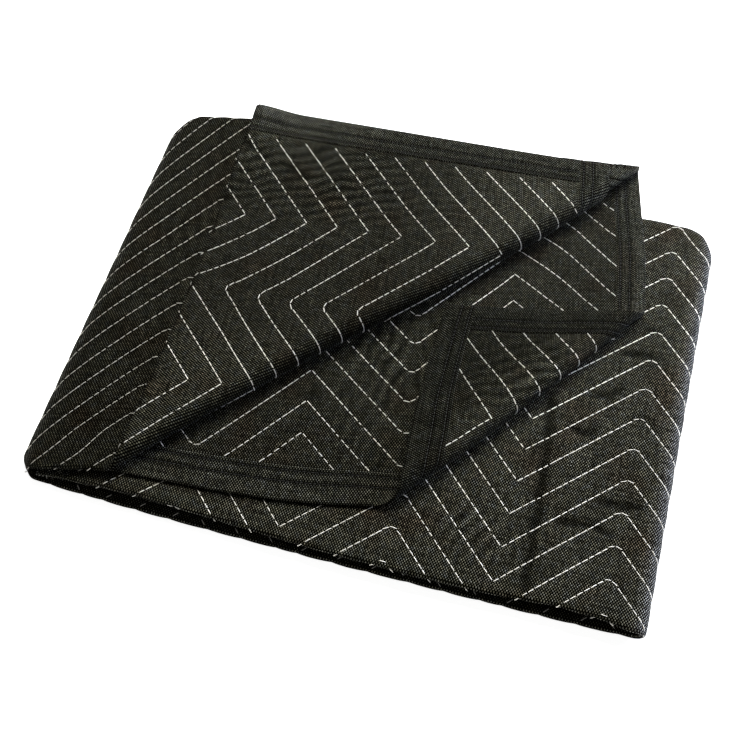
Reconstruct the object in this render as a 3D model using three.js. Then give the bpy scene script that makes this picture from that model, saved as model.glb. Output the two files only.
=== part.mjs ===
// A quilted moving pad folded into a parcel. Its width is letter-folded into three panels, the
// stack of three is then letter-folded along its length, and the front right corner of the top
// group is turned back twice: the folded edge first, then the bound corner below it.
// Flat cloth is measured by s along its length, t across its width and w through its thickness.
import * as THREE from "three";

// Driving sizes in millimetres
const PARCEL = { length: 616, depth: 453.1 };
const CLOTH = { thick: 2.6, pitch: 3.6, hemThick: 0.8, groove: 1.1 };
const TAPE = { width: 30, thick: 0.6, gap: 0.55 };
const LOOSE = { fold: 0.9, group: 0.9 };
const INNER_END = 24;
const INNER_HEM = 430;
const LAST_PANEL = 436;
const TOP_RUN = 529.1;

const HALF = CLOTH.thick / 2;
const STACK = CLOTH.thick + 2 * CLOTH.pitch;
const RIGHT = STACK + LOOSE.fold;
const LEFT = (3 * STACK + 2 * LOOSE.fold + LOOSE.group) / 2;
const FRONT_Y = CLOTH.pitch / 2 + HALF;
const BACK_Y = PARCEL.depth - CLOTH.pitch - HALF;
const RIGHT_X = PARCEL.length - RIGHT;
const LEFT_X = LEFT;

// Stations across the width: under panel, front fold, outer panel, back fold, last panel
const T_FRONT = INNER_HEM - FRONT_Y;
const T_OUTER = T_FRONT + (Math.PI * CLOTH.pitch) / 2;
const T_BACK = T_OUTER + BACK_Y - FRONT_Y;
const T_LAST = T_BACK + Math.PI * CLOTH.pitch;
const WIDTH = T_LAST + LAST_PANEL;

// Stations along the length: middle group, right fold, bottom group, left fold, top group
const S_RIGHT = RIGHT_X - INNER_END;
const S_BOTTOM = S_RIGHT + Math.PI * RIGHT;
const S_LEFT = S_BOTTOM + RIGHT_X - LEFT_X;
const S_TOP = S_LEFT + Math.PI * LEFT;
const LENGTH = S_TOP + TOP_RUN;

// The top group lies askew: how far each of its edges has moved at the free end
const SKEW = { slide: 6.8, creep: 21.1, front: 43.3, back: 58.8, outFront: 4.6, outBack: -26.3 };
const LAST = { lean: 0.1693, front: 105.2, bend: 1.509, startY: 9 };
const LAST_END = { lean: 0.4327, reach: 130, pull: 0.319 };
const SWEEP = [
  { from: 50, to: 300, out: 14.0 },
  { from: 300, to: 450, out: 2.4 },
];
const BULGE = 8.2;

// The left fold is pressed down into a sloping shoulder
const PRESS = [
  { x: 0, share: 0.455 },
  { x: 60, share: 0.2 },
  { x: 111, share: 0 },
];
const PRESS_IN = 5;

// Turned corners: line of the turn, height turned over, layers, and along the line the inner
// radius and how far the roll bellies out
const TURNS = [
  {
    from: [88.4, 2.1],
    to: [513.2, 489.5],
    top: 2 * LEFT,
    thick: CLOTH.thick + CLOTH.pitch,
    rest: 0.9,
    settle: 95,
    radii: [
      { at: 0, inner: 1.0, belly: 0 },
      { at: 0.12, inner: 3.8, belly: 0 },
      { at: 0.4, inner: 6.2, belly: 5 },
      { at: 0.6, inner: 6.4, belly: 13 },
      { at: 0.8, inner: 6.0, belly: 14 },
      { at: 0.93, inner: 4.0, belly: 7 },
      { at: 1, inner: 2.0, belly: 0 },
    ],
  },
  {
    from: [359.0, 43.5],
    to: [552.9, 319.6],
    top: 2 * LEFT - 2 * CLOTH.pitch,
    thick: CLOTH.thick,
    rest: 0.9,
    settle: 55,
    radii: [
      { at: 0, inner: 4.5, belly: 0 },
      { at: 0.3, inner: 5.0, belly: 4 },
      { at: 0.7, inner: 4.8, belly: 4 },
      { at: 1, inner: 3.0, belly: 0 },
    ],
  },
];

// Places where the upper groups stand off the bottom one along the front edge
const LIFTS = [
  { x: 115, reach: 105, depth: 75, rise: 2.0 },
  { x: 545, reach: 75, depth: 85, rise: 2.4 },
];

// Zigzag quilting: rows stacked across the width, corners in columns along the length
const QUILT = { row: 33.9, wave: 97.9, half: 102.2, peakY: 451.8 };
const PEAK_MIDDLE = 549.6;
const PEAK_TOP = 1335.4;
const ROW_STEPS = [0, 0.22, 0.78];

const { clamp, lerp, smoothstep } = THREE.MathUtils;

// Across the width: flat t and w to depth y and height in the stack
function acrossAt(t, w) {
  const mid = HALF + CLOTH.pitch;
  if (t < T_FRONT) {
    return [INNER_HEM - t, mid + w];
  }
  if (t < T_OUTER) {
    const radius = CLOTH.pitch / 2;
    const angle = Math.PI / 2 + (t - T_FRONT) / radius;
    const reach = radius + w;
    return [FRONT_Y + reach * Math.cos(angle), HALF + radius + reach * Math.sin(angle)];
  }
  if (t < T_BACK) {
    return [FRONT_Y + t - T_OUTER, HALF - w];
  }
  if (t < T_LAST) {
    const angle = (t - T_BACK) / CLOTH.pitch - Math.PI / 2;
    const reach = CLOTH.pitch + w;
    return [BACK_Y + reach * Math.cos(angle), mid + reach * Math.sin(angle)];
  }
  return [BACK_Y - (t - T_LAST), mid + CLOTH.pitch + w];
}

// Along the length: flat s and height in the stack to x and z
function alongAt(s, stack) {
  if (s < S_RIGHT) {
    return [INNER_END + s, 2 * RIGHT - stack];
  }
  if (s < S_BOTTOM) {
    const angle = Math.PI / 2 - (s - S_RIGHT) / RIGHT;
    const reach = RIGHT - stack;
    return [RIGHT_X + reach * Math.cos(angle), RIGHT + reach * Math.sin(angle)];
  }
  if (s < S_LEFT) {
    return [RIGHT_X - (s - S_BOTTOM), stack];
  }
  if (s < S_TOP) {
    const angle = -Math.PI / 2 - (s - S_LEFT) / LEFT;
    const reach = LEFT - stack;
    return [LEFT_X + reach * Math.cos(angle), LEFT + reach * Math.sin(angle)];
  }
  return [LEFT_X + s - S_TOP, 2 * LEFT - stack];
}

// The cloth of the upper two panels has crept round the front fold of the top group
function creptAt(s, t) {
  if (t >= T_BACK) {
    return t;
  }
  const fade = 1 - smoothstep(t, T_OUTER, T_BACK);
  const slide = SKEW.slide * smoothstep(s, S_LEFT, S_TOP);
  return t + (slide + (SKEW.creep * Math.max(0, s - S_TOP)) / TOP_RUN) * fade;
}

// The last panel lies aslant from its back fold, so its cloth has moved on along the length
function leantAt(s, t) {
  if (t < T_BACK) {
    return s;
  }
  const back = Math.max(0, BACK_Y - acrossAt(t, 0)[0]);
  const reach = Math.min(back, LAST_END.reach) - LAST_END.pull * Math.max(0, back - LAST_END.reach);
  const end = LAST_END.lean * smoothstep(s, LENGTH - LAST_END.reach, LENGTH) * reach;
  return s + LAST.lean * smoothstep(s, S_BOTTOM, S_LEFT) * (back + end);
}

// The folded place of a point before the corners are turned back
function foldedAt(s, t, w) {
  const [y, stack] = acrossAt(creptAt(s, t), w);
  const last = t >= T_BACK;
  const shifted = leantAt(s, t);
  const [x, z] = alongAt(shifted, stack);
  const run = Math.max(0, shifted - S_TOP);
  const end = Math.min(run / TOP_RUN, 1.2);
  const startY = last ? LAST.startY : 0;
  const depth = clamp((y - startY) / (BACK_Y - startY), 0, 1);
  const sweep = SWEEP.reduce((sum, row) => sum + row.out * smoothstep(run, row.from, row.to), 0);
  const front = last
    ? LAST.front * Math.pow(run / TOP_RUN, LAST.bend) - sweep * (1 - depth) ** 3
    : SKEW.front * Math.sin((Math.PI / 2) * Math.min(end, 1)) + SKEW.creep * end;
  const out = last ? SKEW.outBack : lerp(SKEW.outFront, SKEW.outBack, depth);
  const bow = Math.max(0, Math.sin(Math.PI * Math.pow(clamp(x / PARCEL.length, 0, 1), 0.6)));
  const bulge = BULGE * Math.pow(bow, 0.6) * Math.pow(1 - depth, 1.5);
  const sway = bulge * (1 - smoothstep(s, S_LEFT, S_TOP));
  return [x + out * end ** 3, y + lerp(front, SKEW.back * end, depth) - sway, z];
}

// Position of a plan point against a turn: along its line, past it, and the turn's radii there
function againstTurn(turn, x, y) {
  const dx = turn.to[0] - turn.from[0];
  const dy = turn.to[1] - turn.from[1];
  const size = Math.hypot(dx, dy);
  const along = ((x - turn.from[0]) * dx + (y - turn.from[1]) * dy) / size;
  const past = ((x - turn.from[0]) * dy - (y - turn.from[1]) * dx) / size;
  const at = clamp(along / size, 0, 1);
  const next = Math.max(1, turn.radii.findIndex((row) => row.at >= at));
  const [low, high] = [turn.radii[next - 1], turn.radii[next]];
  const share = (at - low.at) / (high.at - low.at);
  const inner = lerp(low.inner, high.inner, share);
  const belly = lerp(low.belly, high.belly, share);
  const middle = inner + turn.thick / 2;
  return { along, inner, belly, middle, size, dx, dy, bent: past + (Math.PI * middle) / 2 };
}

// A point carried round a turn and laid back on the cloth
function turnedAt(turn, [x, y, z]) {
  const { along, inner, belly, middle, size, dx, dy, bent } = againstTurn(turn, x, y);
  const centre = turn.top + inner;
  const reach = centre - z;
  const angle = clamp(bent / middle, 0, Math.PI);
  const flap = Math.max(0, bent - Math.PI * middle);
  const flat = Math.min(0, bent);
  const out = belly * smoothstep(flat, -turn.settle, 0) * (1 - smoothstep(flap, 0, turn.settle));
  const past = flat + reach * Math.sin(angle) - (Math.PI * middle) / 2 - flap + out;
  const fall = (2 * inner - turn.rest) * smoothstep(flap, 0, turn.settle);
  return [
    turn.from[0] + (along * dx + past * dy) / size,
    turn.from[1] + (along * dy - past * dx) / size,
    centre - reach * Math.cos(angle) - fall,
  ];
}

// How far the upper groups stand up at a plan point
function liftAt(x, y) {
  let rise = 0;
  for (const lift of LIFTS) {
    const side = clamp(Math.abs(x - lift.x) / lift.reach, 0, 1);
    const back = 1 - smoothstep(y, 0, lift.depth);
    rise += lift.rise * Math.cos((Math.PI / 2) * side) ** 2 * back;
  }
  return rise;
}

// Share of its height that the parcel has lost over a plan point
function pressAt(x) {
  const next = clamp(PRESS.findIndex((row) => row.x >= x), 0, PRESS.length - 1);
  if (next === 0) {
    return x > 0 ? 0 : PRESS[0].share;
  }
  const [low, high] = [PRESS[next - 1], PRESS[next]];
  return lerp(low.share, high.share, (x - low.x) / (high.x - low.x));
}

// Flat cloth to its place in the parcel, with the parcel's middle at the origin
function placed(s, t, w) {
  let point = foldedAt(s, t, w);
  const press = pressAt(point[0]);
  if (s >= S_TOP && t < T_BACK) {
    point = turnedAt(TURNS[0], point);
  }
  if (s >= S_TOP && t >= T_LAST) {
    point = turnedAt(TURNS[1], point);
  }
  const [x, y, z] = point;
  const up = liftAt(x, y) * smoothstep(z, STACK, STACK + 2 * LOOSE.fold);
  return new THREE.Vector3(
    x + PRESS_IN * press - PARCEL.length / 2,
    y - PARCEL.depth / 2,
    (z + up) * (1 - press),
  );
}

// Angle turned at a flat point, and the length laid back after the turn
function turnAngle(turn, s, t) {
  const [x, y] = foldedAt(s, t, 0);
  const { bent, middle } = againstTurn(turn, x, y);
  return bent / middle;
}

function laidBack(turn, s, t) {
  const [x, y] = foldedAt(s, t, 0);
  const { bent, middle } = againstTurn(turn, x, y);
  return bent - Math.PI * middle;
}

// Columns of zigzag corners: evenly spaced in the middle and top groups, fitted between them
function zigzagColumns() {
  const between = (PEAK_TOP - PEAK_MIDDLE) / 8;
  const columns = [];
  for (let i = -6; i <= 14; i += 1) {
    const low = PEAK_MIDDLE + Math.min(i, 0) * QUILT.half;
    const span = clamp(i, 0, 8) * between;
    const high = Math.max(i - 8, 0) * QUILT.half;
    columns.push({ s: low + span + high, drop: i % 2 === 0 ? 0 : QUILT.wave });
  }
  return columns;
}

const COLUMNS = zigzagColumns();
const FIRST_ROW = T_OUTER + QUILT.peakY - FRONT_Y;

// Row number of a flat point: whole numbers lie on the stitched lines
function rowAt(s, t) {
  const next = Math.max(1, COLUMNS.findIndex((column) => column.s >= s));
  const [low, high] = [COLUMNS[next - 1], COLUMNS[next]];
  const drop = lerp(low.drop, high.drop, (s - low.s) / (high.s - low.s));
  return (t - FIRST_ROW + drop) / QUILT.row;
}

// Depth of the quilting below the crown of a row
function quiltDepth(s, t) {
  const part = rowAt(s, t) - Math.floor(rowAt(s, t));
  const near = Math.min(part, 1 - part);
  return CLOTH.groove * Math.max(0, 1 - near / ROW_STEPS[1]);
}

// Half the cloth's thickness: pressed thin where the binding holds it
function halfThick(s, t) {
  const edge = Math.min(s, LENGTH - s, t, WIDTH - t);
  return lerp(CLOTH.hemThick / 2, HALF, smoothstep(edge, TAPE.width + 1, TAPE.width + 5));
}

// Splits the polygons that satisfy where at each level of a field over the flat cloth. A side
// that is split gains its new point in both polygons that share it.
function cut(net, field, levels, where = () => true) {
  const known = new Map();
  const valueOf = (point) => {
    if (!known.has(point)) {
      known.set(point, field(...point));
    }
    return known.get(point);
  };
  let pieces = net;
  for (const level of levels) {
    const sideOf = (point) => {
      const off = valueOf(point) - level;
      return Math.abs(off) < 1e-6 ? 0 : Math.sign(off);
    };
    const crossed = pieces.map((polygon) => {
      const sides = polygon.map(sideOf);
      return sides.includes(1) && sides.includes(-1) && where(...middleOf(polygon));
    });
    const splits = new Map();
    pieces.forEach((polygon, n) => {
      polygon.forEach((a, i) => {
        const b = polygon[(i + 1) % polygon.length];
        if (crossed[n] && sideOf(a) * sideOf(b) < 0 && !splits.get(b)?.has(a)) {
          const point = crossingOf(field, level, a, b);
          known.set(point, level);
          splits.set(a, (splits.get(a) ?? new Map()).set(b, point));
        }
      });
    });
    pieces = pieces.flatMap((polygon, n) => {
      const ring = polygon.flatMap((a, i) => {
        const b = polygon[(i + 1) % polygon.length];
        const point = splits.get(a)?.get(b) ?? splits.get(b)?.get(a);
        return point ? [a, point] : [a];
      });
      if (!crossed[n]) {
        return [ring];
      }
      return [1, -1].map((side) => ring.filter((point) => sideOf(point) !== -side));
    });
  }
  return pieces;
}

// Where a side between two flat points crosses a level, found by halving
function crossingOf(field, level, a, b) {
  let [low, high] = [0, 1];
  const at = (share) => [lerp(a[0], b[0], share), lerp(a[1], b[1], share)];
  const rising = field(...b) > field(...a);
  for (let i = 0; i < 32; i += 1) {
    const half = (low + high) / 2;
    const before = field(...at(half)) < level === rising;
    [low, high] = before ? [half, high] : [low, half];
  }
  return at((low + high) / 2);
}

function middleOf(polygon) {
  const sum = polygon.reduce((total, [s, t]) => [total[0] + s, total[1] + t], [0, 0]);
  return [sum[0] / polygon.length, sum[1] / polygon.length];
}

function steps(from, to, count) {
  return Array.from({ length: count + 1 }, (_, i) => lerp(from, to, i / count));
}

// Cuts that every piece of the cloth needs so that it follows the folds and the turned corners
function cutFolds(net, flat) {
  const onS = (s, t) => flat(s, t)[0];
  const onFold = (s, t) => leantAt(...flat(s, t));
  const onT = (s, t) => creptAt(...flat(s, t));
  const inTop = (s, t) => onFold(s, t) > S_TOP;
  const nearFront = (s, t) => {
    const across = onT(s, t);
    return (across > T_FRONT - 90 && across < T_OUTER + 90) || across > WIDTH - 90;
  };
  const columns = COLUMNS.map((column) => column.s);
  const between = columns.map((s) => s + QUILT.half / 2);
  let pieces = cut(net, onT, steps(T_BACK, T_LAST, 4));
  pieces = cut(pieces, onFold, steps(S_RIGHT, S_BOTTOM, 6));
  pieces = cut(pieces, onFold, steps(S_LEFT, S_TOP, 6));
  const pressed = PRESS.slice(1).flatMap(({ x }) => [
    x - INNER_END,
    S_LEFT - x + LEFT_X,
    S_TOP + x - LEFT_X,
  ]);
  pieces = cut(pieces, onFold, pressed);
  pieces = cut(pieces, onT, steps(T_FRONT, T_OUTER, 4));
  pieces = cut(pieces, onT, [T_FRONT - 90, T_OUTER + 90, WIDTH - 90]);
  pieces = cut(pieces, onS, columns, (s, t) => inTop(s, t) || nearFront(s, t));
  const lifted = (s, t) => nearFront(s, t) && (onFold(s, t) < S_RIGHT || inTop(s, t));
  pieces = cut(pieces, onS, between, lifted);
  pieces = cut(pieces, onT, [T_FRONT - 40, T_OUTER + 40, WIDTH - 40], lifted);
  TURNS.forEach((turn, i) => {
    const layers = (s, t) => inTop(s, t) && (i === 0 ? flat(s, t)[1] < T_BACK : flat(s, t)[1] > T_LAST);
    const bend = steps(0, Math.PI, 8);
    pieces = cut(pieces, (s, t) => turnAngle(turn, ...flat(s, t)), bend, layers);
    const lay = steps(0, turn.settle, 4).slice(1);
    pieces = cut(pieces, (s, t) => laidBack(turn, ...flat(s, t)), lay, layers);
  });
  return pieces;
}

// Cuts along the quilting, where it shows
function cutQuilting(net, where) {
  const pieces = cut(net, (s) => s, COLUMNS.map((column) => column.s), where);
  const rows = steps(-40, 40, 80).flatMap((row) => ROW_STEPS.map((step) => row + step));
  return cut(pieces, rowAt, rows, where);
}

// One closed body between two nets over the same flat outline, each with its own placing
function bodyBetween(nets, places) {
  const positions = [];
  const triangles = [];
  const rims = nets.map((net, face) => {
    const numbers = new Map();
    const numberOf = (point) => {
      if (!numbers.has(point)) {
        numbers.set(point, positions.length / 3);
        positions.push(...places[face](...point).toArray());
      }
      return numbers.get(point);
    };
    const add = (a, b, c) => {
      const corner = [numberOf(a), numberOf(b), numberOf(c)];
      triangles.push(face === 0 ? corner : [corner[0], corner[2], corner[1]]);
    };
    const sides = new Map();
    for (const ring of net) {
      ring.forEach((a, i) => {
        const b = ring[(i + 1) % ring.length];
        sides.set(a, (sides.get(a) ?? new Set()).add(b));
      });
      trianglesOf(ring).forEach((triangle) => add(...triangle));
    }
    const rim = [];
    for (const [a, ends] of sides) {
      for (const b of ends) {
        if (!sides.get(b)?.has(a)) {
          rim.push([a, b]);
        }
      }
    }
    return { rim, numberOf };
  });
  for (const [a, b] of rims[0].rim) {
    const [c, d] = [rims[1].numberOf(a), rims[1].numberOf(b)];
    const [e, f] = [rims[0].numberOf(a), rims[0].numberOf(b)];
    triangles.push([f, e, c], [f, c, d]);
  }
  return closed(positions, triangles);
}

// Triangles that fill a ring, clipping its smallest true corner each time
function trianglesOf(ring) {
  const rest = [...ring];
  const filled = [];
  const cornerAt = (i) => [-1, 0, 1].map((step) => rest[(i + step + rest.length) % rest.length]);
  const areaOf = ([a, b, c]) => (b[0] - a[0]) * (c[1] - a[1]) - (b[1] - a[1]) * (c[0] - a[0]);
  while (rest.length > 3) {
    const areas = rest.map((_, i) => areaOf(cornerAt(i)));
    const corners = areas.map((area) => (area > 1e-4 ? area : Infinity));
    const ear = corners.indexOf(Math.min(...corners));
    filled.push(cornerAt(ear));
    rest.splice(ear, 1);
  }
  return [...filled, rest];
}

// Geometry from points and triangles, with its faces turned outwards
function closed(positions, triangles) {
  const at = (i) => new THREE.Vector3().fromArray(positions, 3 * i);
  const volume = triangles.reduce((sum, [a, b, c]) => sum + at(a).dot(at(b).cross(at(c))), 0);
  const facing = volume > 0 ? triangles : triangles.map(([a, b, c]) => [a, c, b]);
  const geometry = new THREE.BufferGeometry();
  geometry.setAttribute("position", new THREE.Float32BufferAttribute(positions, 3));
  geometry.setIndex(facing.flat());
  geometry.computeVertexNormals();
  return geometry;
}

// Quilted cloth: the outside shows on the outer panel and the turned corners, the inside only
// on the last panel of the top group
function quiltedPanel() {
  const sheet = [
    [
      [0, 0],
      [LENGTH, 0],
      [LENGTH, WIDTH],
      [0, WIDTH],
    ],
  ];
  const same = (s, t) => [s, t];
  const edges = [TAPE.width + 1, TAPE.width + 5];
  let folded = cutFolds(sheet, same);
  folded = cut(folded, (s) => s, [...edges, ...edges.map((e) => LENGTH - e)]);
  folded = cut(folded, (s, t) => t, [...edges, ...edges.map((e) => WIDTH - e)]);
  const inField = (s, t) => Math.min(s, LENGTH - s, t, WIDTH - t) > TAPE.width + 5;
  const shownOutside = (s, t) => {
    if (!inField(s, t)) {
      return false;
    }
    const crept = creptAt(s, t);
    if (s > S_TOP && t < T_BACK) {
      const angle = turnAngle(TURNS[0], s, t);
      const strip = crept > T_OUTER && angle < 0 && s < S_TOP + 150;
      return strip || (crept < T_FRONT && angle > 0);
    }
    if (s > S_TOP) {
      return t > T_LAST && turnAngle(TURNS[1], s, t) > 0;
    }
    return crept > T_OUTER && t < T_BACK;
  };
  const shownInside = (s, t) =>
    inField(s, t) &&
    s > S_TOP &&
    t > T_LAST &&
    turnAngle(TURNS[1], s, t) < 0 &&
    turnAngle(TURNS[0], s, t) > 0.5;
  const outside = cutQuilting(folded, shownOutside);
  const inside = cutQuilting(folded, shownInside);
  const near = (shown) => (s, t) =>
    [-0.2, 0.2].some((ds) => [-0.2, 0.2].some((dt) => shown(s + ds, t + dt)));
  const depth = (shown) => (s, t) => (near(shown)(s, t) && inField(s, t) ? quiltDepth(s, t) : 0);
  const [out, into] = [depth(shownOutside), depth(shownInside)];
  return bodyBetween(
    [outside, inside],
    [
      (s, t) => placed(s, t, halfThick(s, t) - out(s, t)),
      (s, t) => placed(s, t, -halfThick(s, t) + into(s, t)),
    ],
  );
}

// Binding: a tape lapped over one edge of the cloth, lying against both of its faces
function binding(from, to, edgeAt) {
  const middle = CLOTH.hemThick / 2 + TAPE.gap + TAPE.thick / 2;
  const turn = (Math.PI * middle) / 2;
  const reach = TAPE.width + turn;
  const lapped = (along, across, out) => {
    const side = Math.sign(across) || 1;
    const angle = (Math.min(Math.abs(across), turn) / turn) * (Math.PI / 2);
    const inward = Math.max(0, Math.abs(across) - turn) - (middle + out) * Math.cos(angle);
    return [...edgeAt(along, inward), side * (middle + out) * Math.sin(angle)];
  };
  const strip = [
    [
      [from, -reach],
      [to, -reach],
      [to, reach],
      [from, reach],
    ],
  ];
  const flat = (along, across) => lapped(along, across, 0).slice(0, 2);
  const rounded = cut(strip, (along, across) => across, steps(-turn, turn, 4));
  const net = cutFolds(rounded, flat);
  const face = (out) => (along, across) => placed(...lapped(along, across, out));
  return bodyBetween([net, net], [face(TAPE.thick / 2), face(-TAPE.thick / 2)]);
}

const lapEnd = CLOTH.hemThick / 2 + TAPE.gap + TAPE.thick;
const clear = TAPE.width + TAPE.gap + 1;
const cloth = new THREE.MeshStandardMaterial({ color: 0x2b2c28, roughness: 0.95 });
const tape = new THREE.MeshStandardMaterial({ color: 0x23231f, roughness: 0.9 });

const PIECES = [
  { name: "quilted_panel", geometry: quiltedPanel(), material: cloth },
  {
    name: "binding_front",
    geometry: binding(-lapEnd, LENGTH + lapEnd, (along, inward) => [along, WIDTH - inward]),
    material: tape,
  },
  {
    name: "binding_inner",
    geometry: binding(-lapEnd, LENGTH + lapEnd, (along, inward) => [along, inward]),
    material: tape,
  },
  {
    name: "binding_end",
    geometry: binding(clear, WIDTH - clear, (along, inward) => [LENGTH - inward, along]),
    material: tape,
  },
  {
    name: "binding_tucked",
    geometry: binding(clear, WIDTH - clear, (along, inward) => [inward, along]),
    material: tape,
  },
];

const pad = new THREE.Group();
for (const { name, geometry, material } of PIECES) {
  const mesh = new THREE.Mesh(geometry, material);
  mesh.name = name;
  pad.add(mesh);
}

export default pad;
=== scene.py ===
"""A quilted moving pad, letter-folded across and along, with its top corner turned back twice."""

import bpy
import numpy as np
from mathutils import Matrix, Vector


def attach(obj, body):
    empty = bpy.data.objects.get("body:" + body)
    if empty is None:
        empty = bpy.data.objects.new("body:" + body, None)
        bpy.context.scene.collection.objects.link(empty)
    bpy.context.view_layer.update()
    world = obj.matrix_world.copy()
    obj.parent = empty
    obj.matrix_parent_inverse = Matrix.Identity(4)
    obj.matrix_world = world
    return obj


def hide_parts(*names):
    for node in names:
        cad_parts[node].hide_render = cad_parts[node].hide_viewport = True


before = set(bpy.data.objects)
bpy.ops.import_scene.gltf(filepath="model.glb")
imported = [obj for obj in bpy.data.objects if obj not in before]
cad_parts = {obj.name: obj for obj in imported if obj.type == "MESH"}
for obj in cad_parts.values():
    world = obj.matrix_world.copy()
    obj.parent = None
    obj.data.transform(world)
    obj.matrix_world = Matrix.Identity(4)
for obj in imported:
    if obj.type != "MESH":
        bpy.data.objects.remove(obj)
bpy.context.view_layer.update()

# Quilted panel
# One sheet of coarse woven polypropylene over thin padding, sewn through in zigzag rows. It is
# folded in three across its width and then in three along its length, and the top group's front
# right corner is turned back: the double folded edge first, then the single corner under it.
PARCEL_LENGTH = 0.616
PARCEL_DEPTH = 0.4531
CLOTH_THICK = 0.0026
LAYER_PITCH = 0.0036
HEM_THICK = 0.0008
TAPE_WIDTH = 0.030
SLACK = 0.0009
INNER_END = 0.024
INNER_HEM = 0.430
LAST_PANEL = 0.436
TOP_RUN = 0.5291

HALF = CLOTH_THICK / 2
STACK = CLOTH_THICK + 2 * LAYER_PITCH
RIGHT_RADIUS = STACK + SLACK
LEFT_RADIUS = 1.5 * (STACK + SLACK)
FRONT_Y = LAYER_PITCH / 2 + HALF
BACK_Y = PARCEL_DEPTH - LAYER_PITCH - HALF
RIGHT_X = PARCEL_LENGTH - RIGHT_RADIUS
LEFT_X = LEFT_RADIUS

# Flat cloth is measured by s along its length, t across its width and w off its middle, outside up.
# Stations across: under panel, front fold, outer panel, back fold, last panel.
T_FRONT = INNER_HEM - FRONT_Y
T_OUTER = T_FRONT + np.pi * LAYER_PITCH / 2
T_BACK = T_OUTER + BACK_Y - FRONT_Y
T_LAST = T_BACK + np.pi * LAYER_PITCH
WIDTH = T_LAST + LAST_PANEL
# Stations along: middle group, right fold, bottom group, left fold, top group.
S_RIGHT = RIGHT_X - INNER_END
S_BOTTOM = S_RIGHT + np.pi * RIGHT_RADIUS
S_LEFT = S_BOTTOM + RIGHT_X - LEFT_X
S_TOP = S_LEFT + np.pi * LEFT_RADIUS
LENGTH = S_TOP + TOP_RUN

# How far the edges of the top group have moved at its free end, and how its last panel lies aslant.
SKEW = {"slide": 0.0068, "front": 0.0433, "back": 0.0588, "out_front": 0.0046, "out_back": -0.0263}
CREEP = 0.0211
LAST = {"lean": 0.1693, "lean_end": 1.4327, "front": 0.1052, "bend": 1.509, "start_y": 0.009}
LEAN_REACH = 0.130
LEAN_PULL = 0.319
# The hem sweeps to the front along the top group's run, and a little more towards its corner.
HEM_SWEEP = {"hem": 0.0140, "hem_run": (0.05, 0.30), "corner": 0.0024, "corner_run": (0.30, 0.45)}
RUN_LIMIT = 1.2
# The groups under the top one bulge out along the front edge.
BULGE = {"out": 0.0082, "round": 0.6, "fade": 1.5}
# The left fold is pressed down into a sloping shoulder.
PRESS = {
    "share": 0.455,
    "reach": 0.111,
    "bend": 1.6,
    "edge": 0.22,
    "edge_reach": 0.035,
    "out": -0.0010,
}
# The middle group's front edge is drawn back from the bottom one's: place along the parcel and how far.
FRONT_DRAW = (
    (0.00, 0.000),
    (0.06, 0.005),
    (0.13, 0.008),
    (0.18, 0.007),
    (0.30, 0.0035),
    (0.40, 0.002),
    (0.46, 0.003),
    (0.53, 0.006),
    (0.575, 0.0035),
    (0.60, 0.000),
)
DRAW_REACH = 0.090
CORNER_ROUND = {"left": 0.0285, "right": 0.036, "front": 0.020}
CURL = {"reach": 0.060, "rise": 0.007, "in": 0.006}
END_REACH = 0.130

# Turned corners: line of the turn, height turned over, thickness turned, and inner radius along it.
TURNS = (
    {
        "start": (0.0884, 0.0021),
        "end": (0.5132, 0.4895),
        "top": 2 * LEFT_RADIUS,
        "thick": CLOTH_THICK + LAYER_PITCH,
        "rest": 0.0009,
        "settle": 0.095,
        "at": (0, 0.12, 0.4, 0.6, 0.8, 0.93, 1),
        "inner": (0.0010, 0.0038, 0.0062, 0.0064, 0.0060, 0.0040, 0.0020),
        "belly": (0, 0, 0.005, 0.013, 0.014, 0.007, 0),
    },
    {
        "start": (0.3590, 0.0435),
        "end": (0.5529, 0.3196),
        "top": 2 * LEFT_RADIUS - 2 * LAYER_PITCH,
        "thick": CLOTH_THICK,
        "rest": 0.0009,
        "settle": 0.055,
        "at": (0, 0.3, 0.7, 1),
        "inner": (0.0095, 0.0070, 0.0066, 0.0050),
        "belly": (0, 0.005, 0.005, 0.001),
    },
)
# Places where the upper groups stand off the bottom one along the front edge.
LIFTS = (
    {"x": 0.115, "reach": 0.105, "depth": 0.075, "rise": 0.0020},
    {"x": 0.545, "reach": 0.075, "depth": 0.085, "rise": 0.0045},
)


def mixed(low, high, share):
    return low + (high - low) * share


def eased(value, low, high):
    """0 up to low, 1 from high on, and an easy change between them."""
    share = np.clip((value - low) / (high - low), 0, 1)
    return share * share * (3 - 2 * share)


def folded_across(t, w):
    """Depth y and height in the stack of three panels."""
    middle = HALF + LAYER_PITCH
    front = np.pi / 2 + (t - T_FRONT) / (LAYER_PITCH / 2)
    back = (t - T_BACK) / LAYER_PITCH - np.pi / 2
    panels = [t < T_FRONT, t < T_OUTER, t < T_BACK, t < T_LAST]
    depths = [
        INNER_HEM - t,
        FRONT_Y + (LAYER_PITCH / 2 + w) * np.cos(front),
        FRONT_Y + t - T_OUTER,
        BACK_Y + (LAYER_PITCH + w) * np.cos(back),
    ]
    heights = [
        middle + w,
        HALF + LAYER_PITCH / 2 + (LAYER_PITCH / 2 + w) * np.sin(front),
        HALF - w,
        middle + (LAYER_PITCH + w) * np.sin(back),
    ]
    y = np.select(panels, depths, BACK_Y - (t - T_LAST))
    return y, np.select(panels, heights, middle + LAYER_PITCH + w)


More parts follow.
